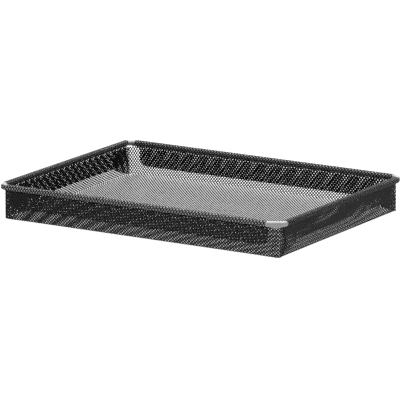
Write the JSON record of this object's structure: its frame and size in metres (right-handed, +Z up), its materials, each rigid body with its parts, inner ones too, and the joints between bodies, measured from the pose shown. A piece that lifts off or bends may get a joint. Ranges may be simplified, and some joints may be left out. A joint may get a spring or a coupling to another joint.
{
  "type": "drawer organizer insert",
  "caption": "Shallow open rectangular tray of black coated expanded-steel mesh, hemmed over a bare steel rod rim, to hold papers and stationery in a drawer or on a desk.",
  "frame": {"origin": "centre of the tray's base, on the surface it stands on", "axes": "+X along the tray to its right, +Y to its back, +Z up out of its open top; the corner crossed by a straight bar is at +X, -Y"},
  "size_m": [0.35, 0.262, 0.0395],
  "materials": {
    "coated_mesh": "semi-gloss black coat",
    "rim_steel": "bare drawn rod, satin"
  },
  "bodies": {
    "root": {"floor_mesh": "coated_mesh", "front_wall_mesh": "coated_mesh", "front_hem_roll": "coated_mesh", "front_hem_flap": "coated_mesh", "left_wall_mesh": "coated_mesh", "left_hem_roll": "coated_mesh", "left_hem_flap": "coated_mesh", "back_wall_mesh": "coated_mesh", "back_hem_roll": "coated_mesh", "back_hem_flap": "coated_mesh", "right_wall_mesh": "coated_mesh", "right_hem_roll": "coated_mesh", "right_hem_flap": "coated_mesh", "corner_tab_front_left": "coated_mesh", "corner_tab_back_left": "coated_mesh", "corner_tab_back_right": "coated_mesh", "corner_tab_front_right": "coated_mesh", "rim_rod_front": "rim_steel", "rim_rod_left": "rim_steel", "rim_rod_back": "rim_steel", "rim_rod_right": "rim_steel", "rim_bend_front_left": "rim_steel", "rim_bend_back_left": "rim_steel", "rim_bend_back_right": "rim_steel", "rim_corner_bar_front_right": "rim_steel"}
  },
  "joints": []
}
